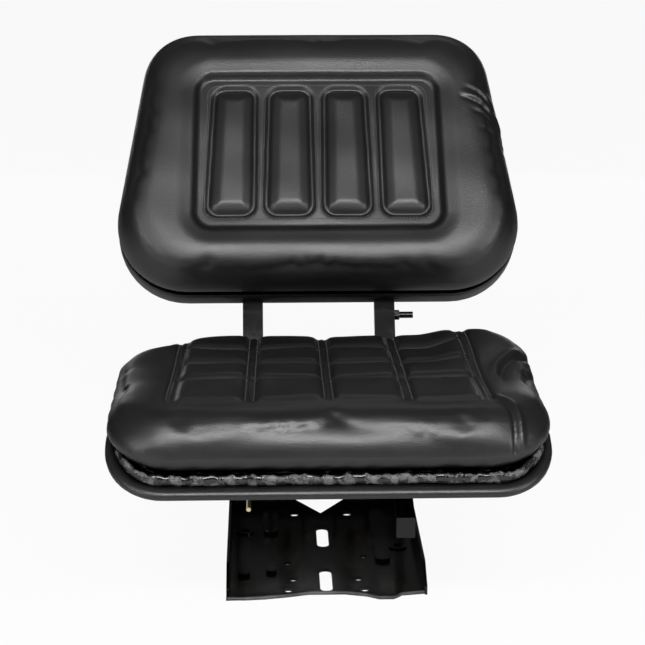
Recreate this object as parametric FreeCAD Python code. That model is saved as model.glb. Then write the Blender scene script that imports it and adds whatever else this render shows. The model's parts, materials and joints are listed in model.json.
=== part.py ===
import FreeCAD, Part
import math
import os

os.makedirs("parts", exist_ok=True)
V = FreeCAD.Vector
X_AXIS = V(1, 0, 0)

# Base plate
BASE_W = 225.0
BASE_Y0 = -175.0
BASE_Y1 = 160.0
SHEET = 3.0
FLANGE_H = 28.0
SLOT_L = 64.0
SLOT_W = 14.0
SLOT_Y = (4.0, -130.0)

# Suspension: lower pivot, housing lean and arm length
PIVOT_Y = 172.0
PIVOT_Z = 30.0
HOUSING_DEG = 48.0
PIVOT_GAP = 70.0
ARM_L = 120.0
ARM_DEG = 145.0
CRANK_R = 38.0
CRANK_DEG = 120.5
SPRING_X = 41.0
BOLT_R = 8.0
WASHER_T = 2.5
ARM_PIN_R = 6.0
PIN_R = 5.0
RUN = 0.05

# Stack across the width, from the base flange inward
CHEEK_X = BASE_W / 2.0 - SHEET
BUSH_T = 2.4
ARM_T = 4.0
ARM_X = CHEEK_X - SHEET - BUSH_T - 2.0 * RUN
ARM_IN = ARM_X - ARM_T
FRAME_X = ARM_IN - 2.0
PLATE_X = FRAME_X - 4.0
RAIL_X = PLATE_X - 19.0
LUG_T = 4.0
LUG_X = (18.0, 59.5)

# Housing, in its own leaning frame
COVER_S0 = -8.0
COVER_S1 = 160.0
COVER_N = -24.0
COVER_T = 2.5
ANCHOR_S = 146.0
ANCHOR_R = 6.0
PLUG_S = 78.0
WIRE_R = 2.1

# Seat frame and rails
FRAME_Z = 140.0
RAIL_Z = FRAME_Z + SHEET
RAIL_H = 19.0
CARRIAGE_Z = RAIL_Z + RAIL_H
LEVER_Y = -60.0
LEVER_Z = FRAME_Z - 12.0
LEVER_R = 4.0

# Pans and cushions
PAN_Z = CARRIAGE_Z + SHEET
PAN_BOLTS = ((-30.0, -172.0), (-30.0, 50.0), (30.0, -172.0), (30.0, 50.0))
BOLT_M8 = 4.0
PAN_HALF = 235.0
PAN_FRONT = -296.0
PAN_REAR = 67.0
PAN_LIP = 24.0
PAN_RIBS = (-215.0, -95.0, -30.0)
BACK_DEG = 33.0
BACK_Y = 165.0
BACK_Z = PAN_Z + 92.0
BACK_H = 337.0
BACK_LOW = 262.0
BACK_HIGH = 208.0
BACK_FRONT = 18.0
BACK_REAR = 14.0
BACK_THICK = 81.0
BORDER = 27.0
PANEL_LOW = 149.5
PANEL_HIGH = 147.0
PAN_SHEET = 2.0
UPRIGHT_X = PLATE_X - 12.0
UPRIGHT_W = 25.0
UPRIGHT_T = 14.0
UPRIGHT_Y = 128.0


def box(x0, x1, y0, y1, z0, z1):
    return Part.makeBox(x1 - x0, y1 - y0, z1 - z0, V(x0, y0, z0))


def rod_x(y, z, r, x0, x1):
    return Part.makeCylinder(r, x1 - x0, V(x0, y, z), X_AXIS)


def rod_y(x, z, r, y0, y1):
    return Part.makeCylinder(r, y1 - y0, V(x, y0, z), V(0, 1, 0))


def rod_z(x, y, r, z0, z1):
    return Part.makeCylinder(r, z1 - z0, V(x, y, z0), V(0, 0, 1))


def ngon(sides, r):
    out = r / math.cos(math.pi / sides)
    turn = 2.0 * math.pi / sides
    return [(out * math.cos(turn * i), out * math.sin(turn * i)) for i in range(sides)]


def ngon_x(y, z, r, x0, x1, sides=12):
    return side_prism([(y + p, z + q) for p, q in ngon(sides, r)], x0, x1)


def hex_x(y, z, across, x0, x1):
    return ngon_x(y, z, across / 2.0, x0, x1, 6)


def hex_z(x, y, across, z0, z1):
    return flat_prism([(x + p, y + q) for p, q in ngon(6, across / 2.0)], z0, z1)


def mirror_x(shape):
    return shape.mirror(V(0, 0, 0), X_AXIS)


def both_sides(shape):
    return Part.makeCompound([shape, mirror_x(shape)])


def fuse(shapes):
    return shapes[0].fuse(shapes[1:]).removeSplitter()


def corner(a, b, c, r):
    u = (a - b).normalize()
    w = (c - b).normalize()
    half = u.getAngle(w) / 2.0
    t = r / math.tan(half)
    mid = (u + w).normalize()
    centre = b + mid * (r / math.sin(half))
    return b + u * t, centre - mid * r, b + w * t


def rounded_face(points, radii):
    n = len(points)
    arcs = [corner(points[i - 1], points[i], points[(i + 1) % n], radii[i]) for i in range(n)]
    edges = []
    for i in range(n):
        p, m, q = arcs[i]
        edges.append(Part.Arc(p, m, q).toShape())
        start = arcs[(i + 1) % n][0]
        if (start - q).Length > 0.01:
            edges.append(Part.makeLine(q, start))
    return Part.Face(Part.Wire(edges))


def side_prism(yz, x0, x1):
    pts = [V(x0, y, z) for y, z in yz]
    return Part.Face(Part.makePolygon(pts + [pts[0]])).extrude(V(x1 - x0, 0, 0))


def rounded_side_prism(yz, radii, x0, x1):
    return rounded_face([V(x0, y, z) for y, z in yz], radii).extrude(V(x1 - x0, 0, 0))


def flat_prism(xy, z0, z1):
    pts = [V(x, y, z0) for x, y in xy]
    return Part.Face(Part.makePolygon(pts + [pts[0]])).extrude(V(0, 0, z1 - z0))


def stadium_z(x, y, half, r, z0, z1):
    body = box(x - r, x + r, y - half + r, y + half - r, z0, z1)
    return body.fuse([rod_z(x, y - half + r, r, z0, z1), rod_z(x, y + half - r, r, z0, z1)]).removeSplitter()


def link_x(y0, z0, y1, z1, r0, r1, x0, x1):
    d = math.hypot(y1 - y0, z1 - z0)
    a = math.atan2(z1 - z0, y1 - y0)
    b = math.acos((r0 - r1) / d)
    pts = []
    for cy, cz, r, t in ((y0, z0, r0, a + b), (y1, z1, r1, a + b), (y1, z1, r1, a - b), (y0, z0, r0, a - b)):
        pts.append((cy + r * math.cos(t), cz + r * math.sin(t)))
    body = side_prism(pts, x0, x1)
    return fuse([body, ngon_x(y0, z0, r0, x0, x1, 18), ngon_x(y1, z1, r1, x0, x1, 18)])


def on_housing(shape):
    shape = shape.copy()
    shape.rotate(V(0, 0, 0), X_AXIS, HOUSING_DEG)
    shape.translate(V(0, PIVOT_Y, PIVOT_Z))
    return shape


def on_backrest(shape):
    shape = shape.copy()
    shape.rotate(V(0, 0, 0), X_AXIS, -BACK_DEG)
    shape.translate(V(0, BACK_Y, BACK_Z))
    return shape


def polar(y, z, r, deg):
    return y + r * math.cos(math.radians(deg)), z + r * math.sin(math.radians(deg))


A = (PIVOT_Y, PIVOT_Z)
B = polar(A[0], A[1], ARM_L, ARM_DEG)
C = polar(A[0], A[1], PIVOT_GAP, HOUSING_DEG)
D = polar(C[0], C[1], ARM_L, ARM_DEG)
P = polar(A[0], A[1], CRANK_R, CRANK_DEG)


# Base plate: folded sheet with stamped beads
def capsule(x, y0, y1, r, z0, z1):
    pts = []
    for i in range(14):
        a = math.radians(180.0 * (i % 7) / 6.0 + 180.0 * (i // 7))
        end = y1 - r if i < 7 else y0 + r
        pts.append((x + r * math.cos(a), end + r * math.sin(a)))
    return flat_prism(pts, z0, z1)


def bead(x, y0, y1, r):
    raised = capsule(x, y0, y1, r, SHEET - 0.5, SHEET + 4.0)
    hollow = capsule(x, y0 + 2.5, y1 - 2.5, r - 2.5, -1.0, SHEET + 1.5)
    return raised, hollow


def base_plate():
    w = BASE_W / 2.0
    front = [(-w, BASE_Y1), (-w, BASE_Y0 - 5), (-70, BASE_Y0 - 3), (-20, BASE_Y0 + 9), (20, BASE_Y0 + 9)]
    front += [(45, BASE_Y0 + 2), (58, BASE_Y0 - 6), (74, BASE_Y0 - 6), (84, BASE_Y0 + 4), (w, BASE_Y0 + 9)]
    notch = [(w, BASE_Y1), (46, BASE_Y1), (0, 85), (-46, BASE_Y1)]
    web = flat_prism(front + notch, 0.0, SHEET)
    wall = [(BASE_Y0 + 6, 0), (BASE_Y0 + 6, 10), (BASE_Y0 + 40, FLANGE_H), (A[0], FLANGE_H), (A[0], 0)]
    side = side_prism(wall, w - SHEET, w)
    ear = rod_x(A[0], A[1], 26.0, w - SHEET, w)
    web_up = [(120, FLANGE_H - 1), (150, A[1] + 14), (A[0], A[1] + 14), (A[0], FLANGE_H - 1)]
    gusset = side_prism(web_up, w - SHEET, w)
    flange = fuse([side, ear, gusset])
    beads = [bead(-93, -120, -10, 7), bead(68, -80, 90, 9), bead(-62, 10, 95, 9), bead(-62, -112, -88, 6)]
    rings = [rod_z(-93, 23, 11, SHEET - 0.5, SHEET + 2), rod_z(88, -31, 11, SHEET - 0.5, SHEET + 2)]
    body = fuse([web, flange, mirror_x(flange)] + rings + [b[0] for b in beads])
    cuts = [b[1] for b in beads]
    cuts += [stadium_z(0, y, SLOT_L / 2.0, SLOT_W / 2.0, -1, 9) for y in SLOT_Y]
    for x, y, r in ((59.5, 142, 6), (32.5, 82, 6), (43, -159, 5), (37, -128, 4.5)):
        cuts += [rod_z(x, y, r, -1, 9), rod_z(-x, y, r, -1, 9)]
    for x, y, r in ((-93, 23, 5), (-43, -79, 4), (88, -31, 5), (46, -60, 4)):
        cuts.append(rod_z(x, y, r, -1, 9))
    cuts += [rod_x(A[0], A[1], BOLT_R, -w - 1, w + 1)]
    return body.cut(cuts).removeSplitter()


# Rear housing: leaning cover with two cheeks, a cut-out and hook tabs for the adjuster rod
def rear_housing():
    w = CHEEK_X
    cover = box(-w, w, COVER_S0, COVER_S1, COVER_N, COVER_N + COVER_T)
    shape = [(COVER_S0, COVER_N), (COVER_S1, COVER_N), (COVER_S1, 34), (152, 48), (24, 48), (-10, 19)]
    cheek = side_prism(shape, w - SHEET, w)
    eye = rod_x(0, 0, 21.0, w - SHEET, w)
    cheek = fuse([cheek, eye])
    hook = box(48, 72, 150, 166, COVER_N - 10, COVER_N + 0.5)
    hook = hook.cut(rod_x(158, COVER_N - 5, 4.0, 40, 80))
    body = fuse([cover, cheek, mirror_x(cheek), hook, mirror_x(hook)])
    window = box(-78, 78, 12, 78, COVER_N - 1, COVER_N + COVER_T + 1)
    holes = [rod_z(0, 92, 3.0, COVER_N - 1, 0), rod_z(0, 108, 3.0, COVER_N - 1, 0)]
    holes += [stadium_z(12, 133, 9, 3.5, COVER_N - 1, 0)]
    holes += [rod_x(0, 0, BOLT_R, -w - 1, w + 1), rod_x(PIVOT_GAP, 0, ARM_PIN_R, -w - 1, w + 1)]
    holes += [rod_x(ANCHOR_S, crank_n(), ANCHOR_R, -w - 1, w + 1)]
    return on_housing(body.cut([window] + holes).removeSplitter())


# Pivot hardware on the base
def lower_pivot_bolts():
    w = BASE_W / 2.0 + WASHER_T
    shank = rod_x(A[0], A[1], BOLT_R, ARM_IN - 20.0, w)
    head = hex_x(A[0], A[1], 24.0, w, w + 10.0)
    return both_sides(fuse([shank, head]))


def washer(y, z, r, hole, x0, x1):
    return both_sides(ngon_x(y, z, r, x0, x1).cut(ngon_x(y, z, hole, x0 - 1, x1 + 1)))


def lower_pivot_washers():
    return washer(A[0], A[1], 14.0, BOLT_R, BASE_W / 2.0, BASE_W / 2.0 + WASHER_T)


def pivot_bushes():
    return washer(A[0], A[1], 13.0, BOLT_R, CHEEK_X - SHEET - BUSH_T, CHEEK_X - SHEET)


def upper_pivot_bolts():
    shank = rod_x(C[0], C[1], ARM_PIN_R, ARM_IN - 3.0, CHEEK_X)
    collar = ngon_x(C[0], C[1], 10.0, ARM_X + 2.0 * RUN, CHEEK_X - SHEET)
    tail = ngon_x(C[0], C[1], 9.0, ARM_IN - 3.5, ARM_IN - 2.0 * RUN)
    head = hex_x(C[0], C[1], 18.0, CHEEK_X, CHEEK_X + 6.5)
    return both_sides(fuse([shank, collar, tail, head]))


def spring_anchor_rod():
    w = CHEEK_X + 3.5
    return on_housing(rod_x(ANCHOR_S, crank_n(), ANCHOR_R, -w, w))


# Adjuster: rod in the hook tabs, folded bracket, screw with a small coil
def adjuster_rod():
    return on_housing(rod_x(158, COVER_N - 5, 4.0, -74, 74))


def adjuster_bracket():
    n = COVER_N
    cheek = side_prism([(126, n - 3), (126, n - 13), (168, n - 14), (168, n - 1), (160, n - 1)], 44, 47)
    low = box(-47, 47, 126, 128.5, n - 13, n)
    mid = side_prism([(126, n - 13), (168, n - 14), (168, n - 16.5), (126, n - 15.5)], -47, 47)
    top = box(-47, 47, 168, 188, n - 16.5, n - 14)
    body = fuse([cheek, mirror_x(cheek), low, mid, top])
    cuts = [rod_x(158, n - 5, 4.0, -60, 60)]
    for x in (-24.0, 24.0):
        oval = box(x - 5, x + 5, 175, 181, n - 20, n - 10)
        cuts += [oval, rod_z(x - 5, 178, 3, n - 20, n - 10), rod_z(x + 5, 178, 3, n - 20, n - 10)]
    cuts += [rod_y(0, n - 7, 3.05, 120, 132)]
    return on_housing(body.cut(cuts).removeSplitter())


def adjuster_screw():
    n = COVER_N - 7
    shank = rod_y(0, n, 3.0, 98, 150)
    head = rod_y(0, n, 5.5, 150, 154)
    tip = rod_y(0, n, 5.0, 95, 99)
    return on_housing(fuse([shank, head, tip]))


def screw_spring():
    n = COVER_N - 7
    return on_housing(coil_y(0, n, 99.8, 25.2, 7, 4.1, 0.8, 8))


# Lower arm frame: hinge tube, two arms and four crank lugs
def lower_arm_frame():
    tube = rod_x(A[0], A[1], 14.0, -ARM_X, ARM_X)
    arm = link_x(A[0], A[1], B[0], B[1], 18.0, 14.0, ARM_IN, ARM_X)
    lugs = [link_x(A[0], A[1], P[0], P[1], 14.0, 10.0, x, x + LUG_T) for x in LUG_X]
    body = fuse([tube, arm, mirror_x(arm)] + lugs + [mirror_x(lug) for lug in lugs])
    w = ARM_X + 1.0
    cuts = [rod_x(A[0], A[1], BOLT_R + RUN, -w, w), rod_x(B[0], B[1], ARM_PIN_R + RUN, -w, w)]
    cuts += [rod_x(P[0], P[1], PIN_R + RUN, -w, w)]
    return body.cut(cuts).removeSplitter()


def upper_arm():
    arm = link_x(C[0], C[1], D[0], D[1], 13.0, 12.0, ARM_IN, ARM_X)
    cuts = [rod_x(y, z, ARM_PIN_R + RUN, ARM_IN - 1, ARM_X + 1) for y, z in (C, D)]
    return arm.cut(cuts)


# Spring links: crank pin, hook rods and end plugs
def crank_pin():
    w = LUG_X[1] + LUG_T + 0.3
    pin = rod_x(P[0], P[1], PIN_R, -w - 3.2, w + 3.2)
    head = ngon_x(P[0], P[1], 7.5, w, w + 3.2)
    return fuse([pin, head, mirror_x(head)])


def crank_s():
    return CRANK_R * math.cos(math.radians(CRANK_DEG - HOUSING_DEG))


def crank_n():
    return CRANK_R * math.sin(math.radians(CRANK_DEG - HOUSING_DEG))


def hook_rod():
    s = crank_s()
    n = crank_n()
    ring = rod_x(s, n, 9.0, SPRING_X - 4, SPRING_X + 4)
    stem = rod_y(SPRING_X, n, 4.0, s + 6, 25.0)
    return on_housing(fuse([ring, stem]).cut(rod_x(s, n, PIN_R, 20, 60)))


def spring_plug():
    n = crank_n()
    body = rod_y(SPRING_X, n, 17.0, 25.0, PLUG_S)
    return on_housing(body)


def coil_y(x, n, s0, length, turns, coil_r, wire_r, per_turn):
    rings = []
    for i in range(turns * per_turn + 1):
        a = math.radians(360.0 * i / per_turn)
        out = V(math.cos(a), 0, math.sin(a))
        centre = V(x, s0 + length * i / (turns * per_turn), n) + out * coil_r
        pts = []
        for k in range(5):
            t = math.radians(90.0 * k + 45.0)
            pts.append(centre + out * (wire_r * math.cos(t)) + V(0, wire_r * math.sin(t), 0))
        rings.append(Part.makePolygon(pts))
    return Part.makeLoft(rings, True, True)


def spring():
    n = crank_n()
    s0 = PLUG_S + WIRE_R
    length = 52.0
    coil = coil_y(SPRING_X, n, s0, length, 7, 13.0, WIRE_R, 8)
    end = s0 + length
    bar = Part.makeCylinder(WIRE_R, 15.0, V(SPRING_X - 2.0, end, n), X_AXIS)
    stem = rod_y(SPRING_X, n, WIRE_R, end, ANCHOR_S - ANCHOR_R - 1.0)
    outer = rod_x(ANCHOR_S, n, ANCHOR_R + 0.2 + 2.0 * WIRE_R, SPRING_X - WIRE_R, SPRING_X + WIRE_R)
    eye = outer.cut(rod_x(ANCHOR_S, n, ANCHOR_R + 0.2, 0, 100))
    return on_housing(fuse([coil, bar, stem, eye]))


# Seat frame: plate with side plates and lever lugs
def seat_frame():
    z = FRAME_Z
    inner = FRAME_X - SHEET
    plate = box(-PLATE_X, PLATE_X, -190, 128, z, z + SHEET)
    lip = box(-80, 68, -190, -187, z - 9, z)
    foot = box(inner - 3.0, FRAME_X, 50, 128, z, z + SHEET)
    side = link_x(B[0], B[1], D[0], D[1], 14.0, 12.0, inner, FRAME_X)
    crest = [(50, z), (50, z + SHEET), (D[0], D[1] + 10), (D[0] + 7, z), (B[0], B[1])]
    top = side_prism(crest, inner, FRAME_X)
    cheek = fuse([side, top, foot])
    tab = [(LEVER_Y - 14, z), (LEVER_Y - 6, LEVER_Z - 8), (LEVER_Y + 6, LEVER_Z - 8), (LEVER_Y + 14, z)]
    lug = side_prism(tab, RAIL_X - 17.0, RAIL_X - 14.0)
    body = fuse([plate, lip, cheek, mirror_x(cheek), lug, mirror_x(lug)])
    cuts = [rod_x(y, z0, ARM_PIN_R, -FRAME_X - 1, FRAME_X + 1) for y, z0 in (B, D)]
    cuts += [rod_x(LEVER_Y, LEVER_Z, LEVER_R + RUN, -RAIL_X, RAIL_X), box(-40, 40, -120, 60, z - 9, z + 9)]
    cuts += [rod_x(D[0], D[1], 9.4, x, x + 15.0) for x in (-inner, inner - 15.0)]
    return body.cut(cuts).removeSplitter()


def frame_pivot_bolts():
    inner = FRAME_X - SHEET
    outer = ARM_X + 2.0 * RUN
    bolts = []
    for y, z in (B, D):
        shank = rod_x(y, z, ARM_PIN_R, inner - 3.0, outer)
        head = ngon_x(y, z, 9.0, outer, outer + 3.5)
        tail = ngon_x(y, z, 8.7, inner - 3.0, inner)
        bolts.append(both_sides(fuse([shank, head, tail])))
    return Part.makeCompound(bolts)


def frame_pivot_washers():
    return Part.makeCompound([washer(y, z, 10.0, ARM_PIN_R, FRAME_X, ARM_IN - 2.0 * RUN) for y, z in (B, D)])


def lower_rail():
    z = RAIL_Z
    outer = box(RAIL_X - 14, RAIL_X + 14, -190, 120, z, z + 10)
    groove = box(RAIL_X - 12, RAIL_X + 12, -191, 121, z + 2, z + 8)
    mouth = box(RAIL_X - 7, RAIL_X + 7, -191, 121, z + 7, z + 11)
    return outer.cut([groove, mouth])


def upper_rail():
    z = RAIL_Z
    foot = box(RAIL_X - 11.7, RAIL_X + 11.7, -185, 115, z + 2.1, z + 7.9)
    stem = box(RAIL_X - 6.7, RAIL_X + 6.7, -185, 115, z + 7, CARRIAGE_Z - 1.5)
    cap = box(RAIL_X - 13, RAIL_X + 13, -185, 115, CARRIAGE_Z - 2, CARRIAGE_Z)
    return fuse([foot, stem, cap])


# Slide lever with its cross shaft and latch rod
def lever_shaft():
    return rod_x(LEVER_Y, LEVER_Z, LEVER_R, -RAIL_X - 15.0, RAIL_X + 17.0)


def slide_lever():
    x0 = RAIL_X - 3.0
    x1 = RAIL_X + 17.0
    z = LEVER_Z + 1.0
    eye = ngon_x(LEVER_Y, LEVER_Z, 8.0, x0, x1)
    strap = box(x0, x1, -214, LEVER_Y, z - 2, z)
    left = box(x0, x0 + SHEET, -243, -205, z - 32, z)
    right = box(x1 - SHEET, x1, -243, -205, z - 32, z)
    end = box(x0, x1, -243, -240, z - 32, z)
    body = fuse([eye, strap, left, right, end])
    above = [(-250, z - 39), (-250, z - 11), (-204, z + 1), (-204, z + 11), (-260, z + 11), (-260, z - 39)]
    below = [(-260, z - 49), (-200, z - 49), (-200, z - 4), (-228, z - 34), (-260, z - 34)]
    cuts = [side_prism(pts, x0 - 1, x1 + 1) for pts in (above, below)]
    cuts.append(rod_x(LEVER_Y, LEVER_Z, LEVER_R, x0 - 1, x1 + 1))
    return body.cut(cuts).removeSplitter()


def latch_rod():
    x = -RAIL_X - 11.0
    wire = rod_y(x, LEVER_Z, 2.5, -235, LEVER_Y - 3.0)
    eye = ngon_x(LEVER_Y, LEVER_Z, 7.0, x - 3.0, x + 3.0)
    return fuse([wire, eye]).cut(rod_x(LEVER_Y, LEVER_Z, LEVER_R, x - 9.0, x + 6.0))


# Carriage plate and the uprights
def carriage_plate():
    plate = box(-PLATE_X, PLATE_X, -200, 142, CARRIAGE_Z, CARRIAGE_Z + SHEET)
    return plate.cut([rod_z(x, y, BOLT_M8, CARRIAGE_Z - 1, PAN_Z + 1) for x, y in PAN_BOLTS])


def pan_bolts():
    bolts = []
    for x, y in PAN_BOLTS:
        head = hex_z(x, y, 13.0, CARRIAGE_Z - 5, CARRIAGE_Z)
        bolts.append(fuse([head, rod_z(x, y, BOLT_M8, CARRIAGE_Z - 1, PAN_Z + 2)]))
    return Part.makeCompound(bolts)


def upright_block(near, far, x0, x1):
    t = math.tan(math.radians(BACK_DEG))
    c = math.cos(math.radians(BACK_DEG))
    z0 = CARRIAGE_Z + SHEET
    bend = BACK_Z - (BACK_Y - UPRIGHT_Y) / t
    top = BACK_Z + 200.0 * c
    y0 = UPRIGHT_Y + near / c
    y1 = UPRIGHT_Y + far / c
    back = (top - bend) * t
    pts = [(y0, z0), (y0, bend), (y0 + back, top), (y1 + back, top), (y1, bend), (y1, z0)]
    return side_prism(pts, x0, x1)


def upright():
    x0 = UPRIGHT_X - UPRIGHT_W / 2.0
    x1 = x0 + UPRIGHT_W
    outer = upright_block(0.0, UPRIGHT_T, x0, x1)
    return outer.cut(upright_block(SHEET, UPRIGHT_T + 5.0, x0 + SHEET, x1 - SHEET))


def upright_hole_points():
    return [(s * UPRIGHT_X, v) for s in (-1, 1) for v in (70.0, 170.0)]


def drill_backrest(shape):
    return shape.cut([on_backrest(rod_y(x, v, BOLT_M8, -20, 20)) for x, v in upright_hole_points()])


def backrest_bolts():
    bolts = []
    for x, v in upright_hole_points():
        shank = rod_y(x, v, BOLT_M8, -PAN_SHEET, SHEET)
        head = hex_z(x, -v, 13.0, SHEET, SHEET + 4.5)
        head.rotate(V(0, 0, 0), X_AXIS, -90)
        bolts.append(on_backrest(fuse([shank, head])))
    return Part.makeCompound(bolts)


def upright_stud():
    x0 = UPRIGHT_X + UPRIGHT_W / 2.0
    z = PAN_Z + 72.0
    y = BACK_Y - (BACK_Z - z) * math.tan(math.radians(BACK_DEG)) + UPRIGHT_T / 2.0 + 1.0
    return fuse([rod_x(y, z, BOLT_M8, x0, x0 + 23), hex_x(y, z, 11.0, x0, x0 + 6)])


# Seat pan: stamped tray with a flared lip that dips at the front
RIM = [(-310, PAN_Z + 1.0), (-297, PAN_Z + 3.0), (-222, PAN_Z + 40.0), (90, PAN_Z + 35.0)]


def seat_outline(inset, z):
    w = PAN_HALF
    pts = [(-w, PAN_FRONT), (w, PAN_FRONT), (w, -34), (143, PAN_REAR), (-143, PAN_REAR), (-w, -34)]
    face = rounded_face([V(x, y, z) for x, y in pts], [62, 62, 60, 45, 45, 60])
    return face.makeOffset2D(-inset) if inset else face


def seat_block(inset, z0, z1):
    return seat_outline(inset, z0).extrude(V(0, 0, z1 - z0))


def below_rim(offset):
    pts = [(y, z + offset) for y, z in RIM]
    return side_prism(pts + [(90, PAN_Z - 65), (-310, PAN_Z - 65)], -300, 300)


def seat_pan():
    z = PAN_Z
    wall = seat_block(PAN_LIP, z, z + 65).cut(seat_block(PAN_LIP + PAN_SHEET, z + PAN_SHEET, z + 66))
    wall = wall.common(below_rim(0.0))
    ring = seat_block(0, z - 15, z + 65).cut(seat_block(PAN_LIP + 1, z - 16, z + 66))
    lip = ring.common(below_rim(0.0)).cut(below_rim(-2.5))
    edge = seat_block(0, z - 15, z + 65).cut(seat_block(4, z - 16, z + 66))
    edge = edge.common(below_rim(1.0)).cut(below_rim(-3.0))
    ribs = [box(-170, 170, y - 4, y + 4, z + 1, z + 5) for y in PAN_RIBS]
    body = fuse([wall, lip, edge] + ribs)
    grooves = [box(-167, 167, y - 2, y + 2, z - 1, z + 3) for y in PAN_RIBS]
    bolts = [rod_z(x, y, BOLT_M8, z - 9, z + 9) for x, y in PAN_BOLTS]
    return body.cut(grooves + bolts).removeSplitter()


def top_z(y):
    return PAN_Z + 84.0 - (y + 225.0) * 10.0 / 305.0


def seat_cushion():
    z = PAN_Z
    lower = seat_block(PAN_LIP + PAN_SHEET + 0.4, z + 5.4, z + 50)
    upper = seat_block(6, z - 15, z + 95).cut(below_rim(1.3))
    body = lower.fuse(upper)
    side = [(-291, z - 15), (-291, z + 31), (-262, top_z(-262)), (75, top_z(75)), (75, z - 15)]
    body = body.common(rounded_side_prism(side, [2, 26, 38, 24, 2], -300, 300))
    w = PAN_HALF - 4.0
    front = [V(-w, -320, z - 15), V(-w, -320, z + 97), V(w, -320, z + 97), V(w, -320, z - 15)]
    body = body.common(rounded_face(front, [2, 44, 44, 2]).extrude(V(0, 420, 0)))
    strips = []
    for i in range(5):
        x0 = (i - 2) * 84.0
        x1 = (i - 2) * 80.0
        pts = [(x0 - 1.5, -225), (x0 + 1.5, -225), (x1 + 1.5, 56), (x1 - 1.5, 56)]
        strips.append(flat_prism(pts, z + 35, z + 105))
    strips += [box(-162, 162, y - 1.5, y + 1.5, z + 35, z + 105) for y in (-147, -82, -15)]
    band = side_prism([(-226, top_z(-226) - 2), (80, top_z(80) - 2), (80, z + 97), (-226, z + 97)], -300, 300)
    seams = strips[0].fuse(strips[1:]).common(band)
    return body.cut([seams]).removeSplitter()


# Backrest: tray and cushion built upright, then leaned
def back_outline(inset, y):
    pts = [(-BACK_LOW, 0), (BACK_LOW, 0), (BACK_HIGH, BACK_H), (-BACK_HIGH, BACK_H)]
    face = rounded_face([V(x, y, z) for x, z in pts], [85, 85, 66, 66])
    return face.makeOffset2D(-inset) if inset else face


def back_block(inset, y0, y1):
    return back_outline(inset, y0).extrude(V(0, y1 - y0, 0))


def upright_notches(room):
    half = UPRIGHT_W / 2.0 + room
    return [box(x - half, x + half, -0.5, BACK_REAR + 1, -5, BORDER + 6) for x in (-UPRIGHT_X, UPRIGHT_X)]


def backrest_pan():
    f = BACK_FRONT
    r = BACK_REAR
    t = PAN_SHEET
    skirt = back_block(0, -f, r).cut(back_block(t, -f - 1, r + 1))
    border = back_block(1, r - t, r).cut(back_block(BORDER + 1, r - t - 1, r + 1))
    dish = back_block(BORDER, -t, r).cut(back_block(BORDER + t, 0, r + 1))
    ribs = [box(x - 4, x + 4, -5, -1, 60, BACK_H - 75) for x in (-150, 150)]
    body = fuse([skirt, border, dish] + ribs)
    cuts = [box(x - 2, x + 2, -3, 1, 62, BACK_H - 77) for x in (-150, 150)]
    cuts += upright_notches(1.0)
    return drill_backrest(on_backrest(body.cut(cuts).removeSplitter()))


def trapezoid_block(w0, w1, z0, z1, r, y0, y1):
    pts = [V(-w0, y0, z0), V(w0, y0, z0), V(w1, y0, z1), V(-w1, y0, z1)]
    return rounded_face(pts, [r] * 4).extrude(V(0, y1 - y0, 0))


def backrest_cushion():
    f = BACK_FRONT
    t = BACK_THICK
    gap = PAN_SHEET + 0.4
    inner = back_block(gap, -f - 1, -PAN_SHEET - 3.4)
    rim = back_block(gap, -f - 1, BACK_REAR - gap).cut(back_block(BORDER - 0.4, -f - 2, BACK_REAR))
    rim = rim.cut(upright_notches(1.0))
    steps = ((-f - 0.4, 6), (-f - 8, 1), (-t + 25, 2), (-t + 12, 10), (-t + 4, 22), (-t, 38))
    wires = [back_outline(inset, y).OuterWire for y, inset in steps]
    body = fuse([inner, rim, Part.makeLoft(wires, True, True)])
    body = body.cut(trapezoid_block(PANEL_LOW, PANEL_HIGH, 66, BACK_H - 74, 22, -t - 1, -t + 4))
    pads = []
    for x in (-105.0, -35.0, 35.0, 105.0):
        pts = [V(x * 1.03 - 27, -t, 83), V(x * 1.03 + 27, -t, 83), V(x * 0.97 + 23.5, -t, BACK_H - 90),
               V(x * 0.97 - 23.5, -t, BACK_H - 90)]
        pads.append(rounded_face(pts, [15] * 4).extrude(V(0, 5, 0)))
    return on_backrest(fuse([body] + pads))


def save(name, shape):
    shape.exportStep("parts/" + name + ".step")


def save_pair(name, shape):
    save(name + "_right", shape)
    save(name + "_left", mirror_x(shape))


save("base_plate", base_plate())
save("rear_housing", rear_housing())
save("lower_pivot_bolts", lower_pivot_bolts())
save("lower_pivot_washers", lower_pivot_washers())
save("pivot_bushes", pivot_bushes())
save("upper_pivot_bolts", upper_pivot_bolts())
save("spring_anchor_rod", spring_anchor_rod())
save("adjuster_rod", adjuster_rod())
save("adjuster_bracket", adjuster_bracket())
save("adjuster_screw", adjuster_screw())
save("screw_spring", screw_spring())
save("lower_arm_frame", lower_arm_frame())
save_pair("upper_arm", upper_arm())
save("crank_pin", crank_pin())
save_pair("hook_rod", hook_rod())
save_pair("spring_plug", spring_plug())
save_pair("spring", spring())
save("seat_frame", seat_frame())
save("frame_pivot_bolts", frame_pivot_bolts())
save("frame_pivot_washers", frame_pivot_washers())
save_pair("lower_rail", lower_rail())
save_pair("upper_rail", upper_rail())
save("lever_shaft", lever_shaft())
save("slide_lever", slide_lever())
save("latch_rod", latch_rod())
save("carriage_plate", carriage_plate())
save("pan_bolts", pan_bolts())
save_pair("upright", drill_backrest(upright()))
save("backrest_bolts", backrest_bolts())
save("upright_stud", upright_stud())
save("seat_pan", seat_pan())
save("seat_cushion", seat_cushion())
save("backrest_pan", backrest_pan())
save("backrest_cushion", backrest_cushion())
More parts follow.
